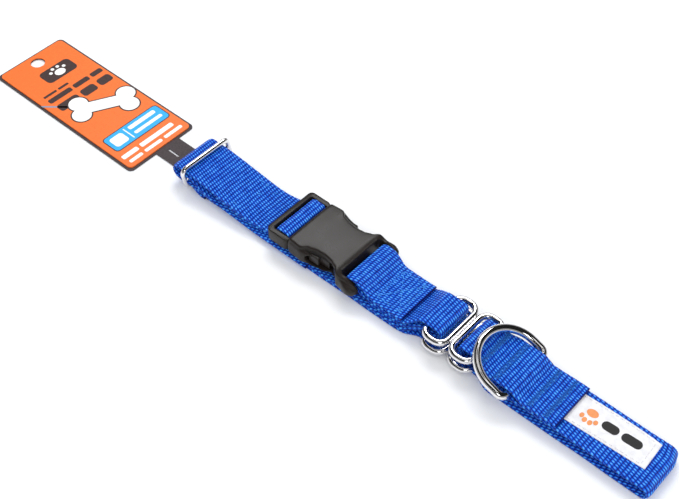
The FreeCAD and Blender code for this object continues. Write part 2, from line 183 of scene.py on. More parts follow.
def make_floor():
    mesh = bpy.data.meshes.new("floor")
    half = 1.5
    z = -0.00005
    mesh.from_pydata([(-half, -half, z), (half, -half, z), (half, half, z), (-half, half, z)],
                     [], [(0, 1, 2, 3)])
    floor = bpy.data.objects.new("floor", mesh)
    bpy.context.scene.collection.objects.link(floor)
    material = bpy.data.materials.new("pale_floor")
    material.use_nodes = True
    shader = material.node_tree.nodes["Principled BSDF"]
    shader.inputs["Base Color"].default_value = (0.93, 0.93, 0.93, 1)
    shader.inputs["Roughness"].default_value = 0.9
    shader.inputs["Specular IOR Level"].default_value = 0.1
    mesh.materials.append(material)


bpy.context.scene.view_settings.view_transform = "Standard"
make_camera()
make_world()
make_floor()
area_light("key_light", (-0.35, 0.45, 0.75), (0, 0, 0), (0.5, 0.3), 3.4)
area_light("front_light", (0.55, -0.5, 0.6), (0, 0, 0), (0.3, 0.2), 1.1)


# ---- material building blocks -----------------------------------------------
class Nodes:
    """Short names for the few kinds of node that the materials use."""

    def __init__(self, name):
        self.material = bpy.data.materials.new(name)
        self.material.use_nodes = True
        self.tree = self.material.node_tree
        self.shader = self.tree.nodes["Principled BSDF"]

    def add(self, kind, **settings):
        node = self.tree.nodes.new(kind)
        for key, value in settings.items():
            setattr(node, key, value)
        return node

    def link(self, output, socket):
        self.tree.links.new(output, socket)

    def shade(self, name, value):
        """Give one of the shader's sockets a fixed value, or another node's output."""
        socket = self.shader.inputs[name]
        if isinstance(value, bpy.types.NodeSocket):
            self.link(value, socket)
        else:
            socket.default_value = value

    def math(self, operation, first, second=None, third=None):
        node = self.add("ShaderNodeMath", operation=operation)
        for socket, value in zip(node.inputs, (first, second, third)):
            if value is None:
                continue
            if isinstance(value, (int, float)):
                socket.default_value = value
            else:
                self.link(value, socket)
        return node.outputs[0]

    def noise(self, scale, detail=2.0, vector=None):
        node = self.add("ShaderNodeTexNoise")
        node.inputs["Scale"].default_value = scale
        node.inputs["Detail"].default_value = detail
        self.link(vector or self.object_place(), node.inputs["Vector"])
        return node.outputs["Fac"]

    def object_place(self):
        return self.add("ShaderNodeTexCoord").outputs["Object"]

    def ramp(self, factor, stops):
        node = self.add("ShaderNodeValToRGB")
        fill_ramp(node.color_ramp, stops)
        self.link(factor, node.inputs[0])
        return node.outputs["Color"]

    def bump(self, height, distance, strength=1.0, normal=None):
        node = self.add("ShaderNodeBump")
        node.inputs["Distance"].default_value = distance
        node.inputs["Strength"].default_value = strength
        self.link(height, node.inputs["Height"])
        if normal:
            self.link(normal, node.inputs["Normal"])
        return node.outputs["Normal"]

    def rounded_edges(self, radius):
        node = self.add("ShaderNodeBevel", samples=6)
        node.inputs["Radius"].default_value = radius
        return node.outputs["Normal"]


def scaled(colour, factor):
    return tuple(min(1.0, channel * factor) for channel in colour)


# UV units on woven pieces: 1 is 10 mm, along the webbing and across it.
weave_unit = 10.0
rib_pitch = 1.60              # one crosswise rib of the webbing
yarn_pitch = 0.98             # one yarn float across the webbing


def webbing_material(name, dark, middle, light, slant=0.42):
    """Crosswise ribs of short slanted floats, with a painted highlight on their crowns and painted shade
    in their grooves.
    """
    build = Nodes(name)
    uv = build.add("ShaderNodeUVMap", uv_map="weave").outputs["UV"]
    split = build.add("ShaderNodeSeparateXYZ")
    build.link(uv, split.inputs[0])
    along = build.math("MULTIPLY", split.outputs["X"], weave_unit / rib_pitch)
    across = build.math("MULTIPLY", split.outputs["Y"], weave_unit / yarn_pitch)
    wander = build.noise(180.0, 1.0)
    along = build.math("MULTIPLY_ADD", wander, 0.35, along)
    row = build.math("FLOOR", along)
    within = build.math("SUBTRACT", build.math("FRACT", along), 0.5)
    shift = build.math("MULTIPLY", build.math("FLOORED_MODULO", row, 2.0), 0.5)
    slanted = build.math("MULTIPLY_ADD", within, slant, across)
    column = build.math("ADD", slanted, shift)
    rib = build.math("POWER", build.math("COSINE", build.math("MULTIPLY", within, math.pi)), 0.6)
    float_wave = build.math("COSINE", build.math("MULTIPLY", column, math.pi))
    yarn = build.math("POWER", build.math("ABSOLUTE", float_wave), 0.9)
    height = build.math("MULTIPLY", rib, yarn)
    fine = build.noise(2600.0, 1.0)
    # Noise at this scale gives patches of random tone and painted glint specks.
    patches_and_glints = build.noise(420.0, 2.0)
    tone = build.math("MULTIPLY_ADD", fine, 0.30, height)
    tone = build.math("MULTIPLY_ADD", patches_and_glints, 0.55, tone)
    tone = build.math("SUBTRACT", tone, 0.42)
    cut = build.add("ShaderNodeAttribute", attribute_name="cut_end").outputs["Fac"]
    tone = build.math("SUBTRACT", tone, build.math("MULTIPLY", cut, 0.8))
    # The colour follows the weave height: painted shade in the grooves, painted highlight on the crowns.
    colour = build.ramp(tone, [(0.10, dark), (0.48, middle), (0.70, middle), (0.98, light)])
    build.shade("Base Color", colour)
    normal = build.bump(height, 0.00035, 0.9)
    build.shade("Normal", normal)
    build.shade("Roughness", 0.36)
    build.shade("Specular IOR Level", 0.22)
    build.shade("Sheen Weight", 0.04)
    build.shade("Sheen Roughness", 0.4)
    build.shade("Sheen Tint", (0.35, 0.6, 1.0, 1))
    return build.material


def thread_material(name, dark, light):
    build = Nodes(name)
    twist = build.add("ShaderNodeTexWave", bands_direction="DIAGONAL")
    twist.inputs["Scale"].default_value = 900.0
    build.link(build.object_place(), twist.inputs["Vector"])
    # The colour follows the twist's bump wave: painted highlight on each twist crown, painted shade
    # between them.
    colour = build.ramp(twist.outputs["Fac"], [(0.2, dark), (0.8, light)])
    build.shade("Base Color", colour)
    build.shade("Normal", build.bump(twist.outputs["Fac"], 0.00008))
    build.shade("Roughness", 0.4)
    return build.material


def wire_material(name):
    """Polished chrome plate with very faint draw lines and handling marks."""
    build = Nodes(name)
    build.shade("Metallic", 1.0)
    build.shade("Base Color", (0.80, 0.79, 0.80, 1))
    marks = build.noise(900.0, 3.0)
    rough = build.math("MULTIPLY_ADD", marks, 0.10, 0.02)
    build.shade("Roughness", rough)
    build.shade("Normal", build.bump(build.noise(350.0, 1.0), 0.00004, 0.5))
    return build.material


def plastic_material(name, colour, roughness, edge):
    """Moulded plastic: fine spark-eroded grain, rubbed a little smoother in places."""
    build = Nodes(name)
    grain = build.noise(5200.0, 2.0)
    rub = build.noise(140.0, 3.0)
    build.shade("Base Color", build.ramp(rub, [(0.3, scaled(colour, 0.82)), (0.7, scaled(colour, 1.25))]))
    rough = build.math("MULTIPLY_ADD", rub, 0.16, roughness - 0.08)
    build.shade("Roughness", rough)
    build.shade("Specular IOR Level", 0.24)
    edges = build.rounded_edges(edge)
    build.shade("Normal", build.bump(grain, 0.00003, 0.5, edges))
    return build.material


def card_material(name, colour, roughness, mottle=0.08):
    """Printed board: even ink over a faint fibre texture."""
    build = Nodes(name)
    fibre = build.noise(1500.0, 4.0)
    low = scaled(colour, 1 - mottle)
    high = scaled(colour, 1 + mottle)
    build.shade("Base Color", build.ramp(fibre, [(0.35, low), (0.65, high)]))
    build.shade("Normal", build.bump(fibre, 0.00003, 0.35))
    build.shade("Roughness", roughness)
    build.shade("Specular IOR Level", 0.3)
    return build.material


def label_material(name, colour):
    """Fine satin weave of the sewn label."""
    build = Nodes(name)
    uv = build.add("ShaderNodeUVMap", uv_map="weave").outputs["UV"]
    split = build.add("ShaderNodeSeparateXYZ")
    build.link(uv, split.inputs[0])
    warp = build.math("SINE", build.math("MULTIPLY", split.outputs["X"], 150.0))
    weft = build.math("SINE", build.math("MULTIPLY", split.outputs["Y"], 110.0))
    height = build.math("MULTIPLY", warp, weft)
    patchy = build.noise(500.0, 2.0)
    tone = build.math("MULTIPLY_ADD", height, 0.12, patchy)
    build.shade("Base Color", build.ramp(tone, [(0.3, scaled(colour, 0.86)), (0.65, colour)]))
    build.shade("Normal", build.bump(height, 0.00006, 0.6))
    build.shade("Roughness", 0.6)
    build.shade("Sheen Weight", 0.2)
    return build.material


# Webbing colours: painted shade for the grooves, the blue of the webbing, and a painted highlight for the
# crowns.
blue_webbing = webbing_material("blue_webbing", (0.0, 0.006, 0.17), (0.0, 0.092, 0.72),
                                (0.09, 0.44, 1.0))
# The stitching's own blue, lightened to paint the glints of the box stitches.
blue_thread = thread_material("blue_thread", (0.0, 0.10, 0.60), (0.06, 0.38, 0.95))
tack_thread = thread_material("tack_thread", (0.0, 0.04, 0.32), (0.01, 0.20, 0.66))
chrome_wire = wire_material("chrome_wire")
black_plastic = plastic_material("black_plastic", (0.0165, 0.0128, 0.0112), 0.30, 0.0007)
card_orange = card_material("card_orange", (0.86, 0.165, 0.022), 0.42, 0.05)
card_dark = card_material("card_dark", (0.062, 0.047, 0.050), 0.6, 0.15)
ink_dark = card_material("ink_dark", (0.055, 0.030, 0.028), 0.45, 0.1)
ink_white = card_material("ink_white", (0.90, 0.88, 0.86), 0.4, 0.04)
ink_blue = card_material("ink_blue", (0.02, 0.40, 0.86), 0.4, 0.05)
ink_steel = card_material("ink_steel", (0.24, 0.30, 0.40), 0.4, 0.05)
label_white = label_material("label_white", (0.90, 0.89, 0.91))
label_black = label_material("label_black", (0.012, 0.010, 0.012))
label_orange = label_material("label_orange", (0.88, 0.30, 0.09))
white_thread = thread_material("white_thread", (0.62, 0.61, 0.63), (0.9, 0.9, 0.9))


# ---- mesh building blocks ---------------------------------------------------
def new_piece(name, vertices, faces, material, smooth=True):
    mesh = bpy.data.meshes.new(name)
    mesh.from_pydata([at(*point) for point in vertices], [], faces)
    mesh.materials.append(material)
    if smooth:
        mesh.shade_smooth()
    mesh.update()
    piece = bpy.data.objects.new(name, mesh)
    bpy.context.scene.collection.objects.link(piece)
    return piece


def face_outward(piece):
    bm = bmesh.new()
    bm.from_mesh(piece.data)
    bmesh.ops.recalc_face_normals(bm, faces=bm.faces)
    bm.to_mesh(piece.data)
    bm.free()


def band(first, second, size):
    """Faces between two closed rings of size vertices, which begin at first and second."""
    faces = []
    for index in range(size):
        beside = (index + 1) % size
        faces.append((first + index, first + beside, second + beside, second + index))
    return faces


def bend_points(previous, corner, following, radius, step):
    """Points round the arc that takes the place of a flat corner, about every step radians."""
    before = (previous - corner).normalized()
    after = (following - corner).normalized()
    half_angle = before.angle(after) / 2
    reach = radius / math.tan(half_angle)
    centre = corner + (before + after).normalized() * (radius / math.sin(half_angle))
    start = corner + before * reach - centre
    turn = math.pi - 2 * half_angle
    sign = 1 if before.cross(after) < 0 else -1
    count = max(2, math.ceil(turn / step))
    return [centre + Matrix.Rotation(sign * turn * part / count, 2) @ start
            for part in range(count + 1)]


def rounded_line(route, step):
    """Points every step along a route of (x, z, bend radius), with arcs at its bends."""
    corners = [Vector((x, z)) for x, z, radius in route]
    points = [corners[0]]
    for index in range(1, len(route) - 1):
        radius = route[index][2]
        points += bend_points(corners[index - 1], corners[index], corners[index + 1], radius, 0.12)
    points.append(corners[-1])
    return spread_evenly(points, step)


def spread_evenly(points, step):
    total = 0.0
    marks = [0.0]
    for first, second in zip(points, points[1:]):
        total += (second - first).length
        marks.append(total)
    count = max(2, round(total / step))
    result = []
    index = 0
    for part in range(count + 1):
        goal = total * part / count
        while index < len(points) - 2 and marks[index + 1] < goal:
            index += 1
        length = marks[index + 1] - marks[index]
        share = (goal - marks[index]) / length if length > 1e-9 else 0.0
        result.append((goal, points[index].lerp(points[index + 1], share)))
    return result


class Station:
    """One cross-section of a strap: its centre, its own up direction, side and width."""

    def __init__(self, length, centre, up, side, width):
        self.length = length
        self.centre = centre
        self.up = up
        self.side = side
        self.width = width


def strap_stations(route, side_at, width_at, step=0.28):
    line = rounded_line(route, step)
    stations = []
    for index, (length, centre) in enumerate(line):
        ahead = line[min(index + 1, len(line) - 1)][1]
        behind = line[max(index - 1, 0)][1]
        heading = (ahead - behind).normalized()
        up = Vector((-heading.y, heading.x))
        stations.append(Station(length, centre, up, side_at(centre.x), width_at(centre.x)))
    return stations


def strap_point(station, across, height):
    """A point at across (-1 to 1) and height mm over the webbing's centre surface."""
    y = station.side + across * station.width / 2
    place = station.centre + station.up * height
    return (place.x, y, place.y)


strap_columns = 30
rib_relief = 0.07
scallop_depth = 0.13            # ripple of the edges, one for each rib
side_drift = 0.22
surface_wave = 0.10
cut_fade = 0.6                  # length of the darker band at a cut end


def map_weave(piece, marks):
    layer = piece.data.uv_layers.new(name="weave")
    for polygon in piece.data.polygons:
        for loop_index, vertex in zip(polygon.loop_indices, polygon.vertices):
            layer.data[loop_index].uv = marks[vertex]


def strap_piece(name, stations, seed):
    """Woven strap with rounded, slightly scalloped edges and a faint rib relief."""
    columns = [math.sin(math.pi / 2 * (2 * c / strap_columns - 1)) for c in range(strap_columns + 1)]
    vertices = []
    marks = []
    cuts = []
    for station in stations:
        phase = 2 * math.pi * station.length / rib_pitch
        rib = -rib_relief * math.cos(phase)
        from_end = min(station.length, stations[-1].length - station.length)
        cut = max(0.0, 1 - from_end / cut_fade)
        drift = noise.noise(Vector((station.length * 0.05, seed, 0))) * side_drift
        scallop = -scallop_depth * math.cos(phase)
        for face in (1, -1):
            order = columns if face == 1 else list(reversed(columns))
            for across in order:
                edge = math.sqrt(max(0.0, 1 - abs(across) ** 14))
                thick = webbing_thick / 2 * (0.30 + 0.70 * edge)
                wave = noise.noise(Vector((station.length * 0.09, across * 0.9, seed)))
                height = face * (thick + rib * edge) + wave * surface_wave
                x, y, z = strap_point(station, across, height)
                y += drift + math.copysign(scallop, across) * abs(across) ** 8
                vertices.append((x, y, z))
                marks.append((station.length / weave_unit,
                              across * station.width / 2 / weave_unit + (0 if face == 1 else 5)))
                cuts.append(cut)
    ring = 2 * (strap_columns + 1)
    faces = []
    for row in range(len(stations) - 1):
        faces += band(row * ring, (row + 1) * ring, ring)
    for row in (0, len(stations) - 1):
        base = row * ring
        for column in range(strap_columns):
            faces.append((base + column, base + ring - 1 - column,
                          base + ring - 2 - column, base + column + 1))
    piece = new_piece(name, vertices, faces, blue_webbing)
    map_weave(piece, marks)
    piece.data.attributes.new("cut_end", "FLOAT", "POINT").data.foreach_set("value", cuts)
    face_outward(piece)
    return piece


def station_near(stations, x, first_length=0.0):
    """The station nearest to x, searched from first_length on."""
    later = [station for station in stations if station.length >= first_length]
    return min(later, key=lambda station: abs(station.centre.x - x))


def capsule(start, end, radius, sides=6):
    """Vertices and faces of one stitch: a rod with tapered ends."""
    start = Vector(start)
    end = Vector(end)
    along = (end - start).normalized()
    first = along.orthogonal().normalized()
    second = along.cross(first)
    vertices = []
    for share, scale in ((0.0, 0.35), (0.18, 0.9), (0.5, 1.0), (0.82, 0.9), (1.0, 0.35)):
        centre = start.lerp(end, share)
        for side in range(sides):
            angle = 2 * math.pi * side / sides
            offset = (first * math.cos(angle) + second * math.sin(angle)) * radius * scale
            vertices.append(tuple(centre + offset))
    faces = []
    for row in range(4):
        faces += band(row * sides, (row + 1) * sides, sides)
    faces.append(tuple(reversed(range(sides))))
    faces.append(tuple(range(4 * sides, 5 * sides)))
    return vertices, faces


stitch_radius = 0.24
stitch_lift = 0.02
box_reach = 0.76                # share of the half width that a box stitch takes


def stitches_piece(name, runs, radius, material):
    """One mesh of many stitches, each given as (start, end)."""
    vertices = []
    faces = []
    for start, end in runs:
        base = len(vertices)
        part_vertices, part_faces = capsule(start, end, radius)
        vertices += part_vertices
        faces += [tuple(index + base for index in face) for face in part_faces]
    return new_piece(name, vertices, faces, material)


def seam_runs(stations, corners, lift, stitch=1.5, gap=0.5, first_length=0.0):
    """Stitches along straight seams between (x, across) corners on a strap's surface."""
    runs = []
    for (x_from, across_from), (x_to, across_to) in zip(corners, corners[1:]):
        half_width = webbing_width / 2
        length = math.hypot(x_to - x_from, (across_to - across_from) * half_width)
        count = max(1, round(length / (stitch + gap)))
        for part in range(count):
            ends = []
            for share in ((part + 0.12) / count, (part + 0.88) / count):
                x = x_from + (x_to - x_from) * share
                across = across_from + (across_to - across_from) * share
                station = station_near(stations, x, first_length)
                ends.append(strap_point(station, across, webbing_thick / 2 + lift))
            runs.append(tuple(ends))
    return runs


def box_corners(x_low, x_high):
    """Corners of a stitched rectangle that ends with one diagonal."""
    return [(x_low, -box_reach), (x_high, -box_reach), (x_high, box_reach), (x_low, box_reach),
            (x_low, -box_reach), (x_high, box_reach)]


def bar_tack_runs(stations, x, first_length=0.0, reach=0.90, spacing=0.62, width=2.2):
    """A dense zigzag row across the webbing."""
    runs = []
    count = int(webbing_width * reach / spacing)
    for part in range(count):
        across = -reach + 2 * reach * part / (count - 1)
        lean = 0.35 / webbing_width
        ends = []
        for sign in (-1, 1):
            station = station_near(stations, x + sign * width / 2, first_length)
            ends.append(strap_point(station, across + sign * lean, webbing_thick / 2 + stitch_lift))
        runs.append(tuple(ends))
    return runs


def tube_piece(name, points, radius, material, closed=True, sides=20):
    """Round wire along a smooth line of points."""
    count = len(points)
    vertices = []
    frame_up = None
    for index, point in enumerate(points):
        ahead = points[(index + 1) % count] if closed else points[min(index + 1, count - 1)]
        behind = points[index - 1] if closed else points[max(index - 1, 0)]
        along = (ahead - behind).normalized()
        if frame_up is None:
            frame_up = along.orthogonal().normalized()
        frame_up = (frame_up - along * frame_up.dot(along)).normalized()
        beside = along.cross(frame_up)
        for side in range(sides):
            angle = 2 * math.pi * side / sides
            offset = frame_up * math.cos(angle) + beside * math.sin(angle)
            vertices.append(tuple(point + offset * radius))
    faces = []
    rows = count if closed else count - 1
    for row in range(rows):
        faces += band(row * sides, (row + 1) % count * sides, sides)
    if not closed:
        faces.append(tuple(reversed(range(sides))))
        faces.append(tuple(range((count - 1) * sides, count * sides)))
    return new_piece(name, vertices, faces, material)


def ring_points(corners, bend, step=0.35):
    """A closed planar line with corners rounded by bend and a point at every step of an arc."""
    count = len(corners)
    points = []
    for index, corner in enumerate(corners):
        before = (corners[index - 1] - corner).normalized()
        after = (corners[(index + 1) % count] - corner).normalized()
        half_angle = before.angle(after) / 2
        reach = bend / math.tan(half_angle)
        middle = (before + after).normalized()
        centre = corner + middle * (bend / math.sin(half_angle))
        start = corner + before * reach - centre
        end = corner + after * reach - centre
        turn = math.pi - 2 * half_angle
        parts = max(4, math.ceil(turn * bend / step))
        for part in range(parts + 1):
            share = part / parts
            blended = (start * math.sin((1 - share) * turn) + end * math.sin(share * turn))
            points.append(centre + blended / math.sin(turn))
    filled = []
    for index, point in enumerate(points):
        following = points[(index + 1) % len(points)]
        filled.append(point)
        pieces = int((following - point).length)
        for part in range(1, pieces):
            filled.append(point.lerp(following, part / pieces))
    return filled


# ---- webbing ----------------------------------------------------------------
def gathered(x):
    """Webbing width, drawn narrower where it goes round the rings' outer bars."""
    near = min(smooth_step(x, left_bar_x - 8, left_bar_x - 1.5),
               1 - smooth_step(x, right_bar_x + 1, right_bar_x + 8))
    return webbing_width - 3.6 * near


def toward_rings(x, side):
    near = min(smooth_step(x, left_bar_x - 12, left_bar_x - 1),
               1 - smooth_step(x, right_bar_x + 1, right_bar_x + 10))
    return side + (ring_side - side) * near


strand_low_x = 34.0
strand_high_x = 4.0
fold_x = -7.5 + webbing_thick / 2
male_rise_x = male_left + 2.8


def strand_z(x):
    share = (x - strand_high_x) / (strand_low_x - strand_high_x)
    return slider_high_ply + share * (level[3] - slider_high_ply)


def upper_side(x):
    return buckle_side - 2.0 * (1 - smooth_step(x, 26, 45))


def make_buckle_strap():
    fold = (slider_high_ply - slider_low_ply) / 2
    wrap_right = male_bar_x + bar_wrap
    route = [
        (8.95, level[0], 0),
        (6.4, level[0], 3.0),
        (2.6, slider_low_ply, 3.0),
        (fold_x, slider_low_ply, fold),
        (fold_x, slider_high_ply, fold),
        (strand_high_x, slider_high_ply, 12.0),
        (strand_low_x, level[3], 12.0),
        (male_rise_x - 0.8, level[3], 1.0),
        (male_rise_x + 0.5, buckle_mid + bar_wrap + 0.3, 2.2),
        (wrap_right, buckle_mid + bar_wrap, bar_wrap),
        (wrap_right, buckle_mid - bar_wrap, bar_wrap),
        (male_bar_x - 1.8, buckle_mid - bar_wrap, 2.0),
        (male_rise_x + 0.5, level[2], 2.0),
        (strand_low_x - 0.2, level[2], 12.0),
        (15.0, strand_z(15.0) - ply, 0),
    ]
    stations = strap_stations(route, upper_side, lambda x: webbing_width)
    piece = strap_piece("buckle_strap_webbing", stations, 1.0)
    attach(piece, "buckle_strap")
    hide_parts("upper_webbing")
    runs = seam_runs(stations, box_corners(17.5, 30.5), stitch_lift, first_length=20.0)
    thread = stitches_piece("buckle_end_box_stitch", runs, stitch_radius, blue_thread)
    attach(thread, "buckle_strap")
    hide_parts("buckle_end_stitching")


def make_slider_end():
    turn = 1.0 + webbing_thick / 2 + 0.05
    route = [
        (60.0, level[1], 0),
        (33.0, level[1], 14.0),
        (7.0, slider_wrap_low, 8.0),
        (-turn, slider_wrap_low, turn),
        (-turn, slider_wrap_high, turn),
        (2.4, slider_wrap_high, 2.5),
        (7.8, level[2] + 1.8, 4.0),
        (13.6, level[2] + 0.2, 0),
    ]
    stations = strap_stations(route, lambda x: -1.3, lambda x: webbing_width)
    piece = strap_piece("slider_end_loop_webbing", stations, 2.0)
    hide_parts("slider_end_loop")
    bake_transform(piece)
    runs = seam_runs(stations, [(11.3, -0.6), (11.3, 0.6)], stitch_lift, first_length=60.0)
    thread = stitches_piece("slider_end_stitches", runs, stitch_radius, blue_thread)
    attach(thread, "strap_end")
    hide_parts("slider_end_stitching")


def make_long_strap():
    turn_x = left_bar_x + wrap_slack
    wrap_low = low_ring_z - ring_wrap
    wrap_high = low_ring_z + ring_wrap
    route = [
        (9.0, level[0], 0),
        (turn_x, wrap_low, ring_wrap),
        (turn_x, wrap_high, ring_wrap),
        (left_bar_x - 2.2, wrap_high, 4.0),
        (left_bar_x - 7.4, level[1], 4.0),
        (60.0, level[1], 0),
    ]
    stations = strap_stations(route, lambda x: toward_rings(x, 0.0), gathered)
    piece = strap_piece("long_strap_webbing", stations, 3.0)
    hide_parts("lower_webbing")
    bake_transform(piece)


def short_strap_side(x):
    return toward_rings(x, 0.8) + 0.7 * (1 - smooth_step(x, 82, 90))


def short_strap_width(x):
    return gathered(x) + 0.9 * (1 - smooth_step(x, 82, 88))


def make_short_strap():
    wrap_x = female_bar_x - bar_wrap - 0.3
    high = buckle_mid + bar_wrap
    low = buckle_mid - bar_wrap
    turn_x = left_bar_x + wrap_slack
    route = [
        (101.4, level[4], 0),
        (87.5, level[4], 5.0),
        (female_bar_x + 2.3, high, 5.0),
        (wrap_x, high, bar_wrap),
        (wrap_x, low, bar_wrap),
        (82.5, low, 5.0),
        (85.0, level[3], 5.0),
        (left_bar_x - 8.2, level[3], 3.0),
        (left_bar_x - 2.2, high_ring_z + ring_wrap, 3.0),
        (turn_x, high_ring_z + ring_wrap, ring_wrap),
        (turn_x, high_ring_z - ring_wrap, ring_wrap),
        (left_bar_x - 2.6, high_ring_z - ring_wrap, 3.0),
        (left_bar_x - 8.0, level[2], 3.0),
        (86.0, level[2], 0),
    ]
    stations = strap_stations(route, short_strap_side, short_strap_width)
    piece = strap_piece("short_strap_webbing", stations, 4.0)
    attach(piece, "short_strap")
    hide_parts("short_webbing")
    top = [station for station in stations if station.length < 16]
    low = 89.0
    high = 99.0
    outside = -webbing_thick - stitch_lift
    runs = seam_runs(top, box_corners(low, high), outside)
    runs += seam_runs(top, [(low, box_reach), (high, -box_reach)], outside)
    thread = stitches_piece("short_strap_box_stitch", runs, stitch_radius, blue_thread)
    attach(thread, "short_strap")
    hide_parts("short_strap_stitching")


def skew_loop_end(piece):
    """The closed end isn't folded square: its far corner is drawn back and rounded."""
    for vertex in piece.data.vertices:
        x = (vertex.co.x - zero_x) / MM
        y = (vertex.co.y - zero_y) / MM
        pull = 1.2 * smooth_step(y, 3.0, 9.8) ** 2 + 0.5 * smooth_step(-y, 6.5, 9.8) ** 2
        vertex.co.x -= pull * smooth_step(x, 184, 198) * MM


def make_control_loop():
    left_x = right_bar_x - 6.0
    right_x = loop_right - webbing_thick / 2
    end_turn = (loop_top - level[0]) / 2
    inner = loop_dip_ply - ply
    over_d = d_ring_z + d_wrap
    under_d = d_ring_z - d_wrap
    lap = loop_top + ply
    route = [
        (right_bar_x + 5.0, inner - 0.05, 0),
        (d_ring_x - 6.6, inner - 0.05, 4.0),
        (d_ring_x - 3.0, under_d, 3.0),
        (d_ring_x + 2.4, under_d, 8.0),
        (d_ring_x + 6.0, loop_top, 8.0),
        (right_x, loop_top, end_turn),
        (right_x, level[0], end_turn),
        (left_x, level[0], 1.9),
        (left_x, loop_high_ply, 1.9),
        (right_bar_x + 0.8, loop_high_ply, 2.5),
        (right_bar_x + 4.6, loop_dip_ply, 6.0),
        (d_ring_x - 2.5, over_d, 20.0),
        (d_ring_x + 1.3, over_d, 2.0),
        (d_ring_x + 4.9, lap, 2.0),
        (loop_cut_end_x, lap, 0),
    ]
    stations = strap_stations(route, lambda x: toward_rings(x, loop_side), gathered)
    piece = strap_piece("control_loop_webbing", stations, 5.0)
    skew_loop_end(piece)
    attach(piece, "control_loop")
    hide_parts("control_loop")
    lapped = stations[-1].length - 45
    runs = []
    for x in (d_ring_x - 12.3, d_ring_x - 5.3, d_ring_x + 8.1, d_ring_x + 14.2):
        runs += bar_tack_runs(stations, x, lapped)
    thread = stitches_piece("control_loop_bar_tacks", runs, 0.20, tack_thread)
    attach(thread, "control_loop")
    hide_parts("bar_tack_stitching")


make_buckle_strap()
make_slider_end()
make_long_strap()
make_short_strap()
make_control_loop()


# ---- wire hardware ----------------------------------------------------------
def make_slider():
    half = 11.4
    low = 1.5
    high = 10.1
    middle = 5.6
    side = -0.4
    skew = 1.4
    corners = [Vector((0, side + skew - half, low)), Vector((0, side + skew + half, low)),
               Vector((0, side + half, high)), Vector((0, side - half, high))]
    frame_piece = tube_piece("slider_frame", ring_points(corners, 1.9), 1.0, chrome_wire)
    bar = tube_piece("slider_middle_bar", [Vector((0, -half, middle)), Vector((0, half, middle))],
                     1.0, chrome_wire, closed=False)
    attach(frame_piece, "slider")
    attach(bar, "slider")
    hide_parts("slider")


def make_double_ring(name, node, body, z):
    half = webbing_width / 2 + 0.8
    wire = 1.2
    for word, sign in (("left", -1), ("right", 1)):
        inner_x = ring_x + sign * (wire - 0.02)
        outer_x = ring_x + sign * ring_pitch
        corners = [Vector((inner_x, ring_side - half, z)), Vector((outer_x, ring_side - half, z)),
                   Vector((outer_x, ring_side + half, z)), Vector((inner_x, ring_side + half, z))]
        lobe = tube_piece(name + "_" + word + "_lobe", ring_points(corners, 3.6), wire,
                          chrome_wire)
        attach(lobe, body)
        if sign == -1:
            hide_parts(node)


def make_d_ring():
    wire = 1.5
    reach = 17.6
    half = webbing_width / 2 + 2.4
    rest_z = loop_high_ply + 0.65 + wire + 1.1
    rise = math.asin((rest_z - d_ring_z) / reach)
    along = Vector((-math.cos(rise), 0, math.sin(rise)))
    base = Vector((d_ring_x, loop_side, d_ring_z))
    across = Vector((0, half, 0))
    shoulder = along * (reach - half)
    bow = []
    parts = 60
    for part in range(parts + 1):
        angle = math.pi * part / parts
        bow.append(base + shoulder + across * math.cos(angle) + along * (half * math.sin(angle)))
    bend = 2.2
    quarter = [math.pi / 2 * part / 8 for part in range(9)]
    legs = []
    for outward in (-across.normalized(), across.normalized()):
        centre = base + outward * (half - bend) + along * bend
        legs.append([centre + outward * bend * math.cos(angle) - along * bend * math.sin(angle)
                     for angle in quarter])
    near, far = legs
    far.reverse()
    line = near + [near[-1].lerp(far[0], share / 8) for share in range(1, 8)] + far
    line += [far[-1].lerp(bow[0], share / 5) for share in range(1, 5)] + bow
    line += [bow[-1].lerp(near[0], share / 5) for share in range(1, 5)]
    ring = tube_piece("leash_d_ring", line, wire, chrome_wire)
    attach(ring, "d_ring")
    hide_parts("d_ring")


make_slider()
make_double_ring("upper_ring", "upper_double_ring", "upper_ring", high_ring_z)
make_double_ring("lower_ring", "lower_double_ring", "lower_ring", low_ring_z)
make_d_ring()

# ---- buckle -----------------------------------------------------------------
def bake(piece):
    """Apply the piece's modifiers to its mesh."""
    graph = bpy.context.evaluated_depsgraph_get()
    mesh = bpy.data.meshes.new_from_object(piece.evaluated_get(graph))
    piece.modifiers.clear()
    piece.data = mesh
    return piece


def combine(piece, operation, others):
    """Cut the others out of the piece or join them to it, and drop them."""
    for other in others:
        step = piece.modifiers.new("combine", "BOOLEAN")
        step.operation = operation
        step.solver = "EXACT"
        step.object = other
        bake(piece)
        bpy.data.objects.remove(other)


def cut_piece(piece, *cutters):
    combine(piece, "DIFFERENCE", cutters)


def join_piece(piece, *others):
    combine(piece, "UNION", others)


def round_edges(piece, width, segments=3, angle=32):
    step = piece.modifiers.new("rounding", "BEVEL")
    step.width = width * MM
    step.segments = segments
    step.limit_method = "ANGLE"
    step.angle_limit = math.radians(angle)
    step.use_clamp_overlap = True
    bake(piece)
    piece.data.shade_smooth()
    piece.data.set_sharp_from_angle(angle=math.radians(50))


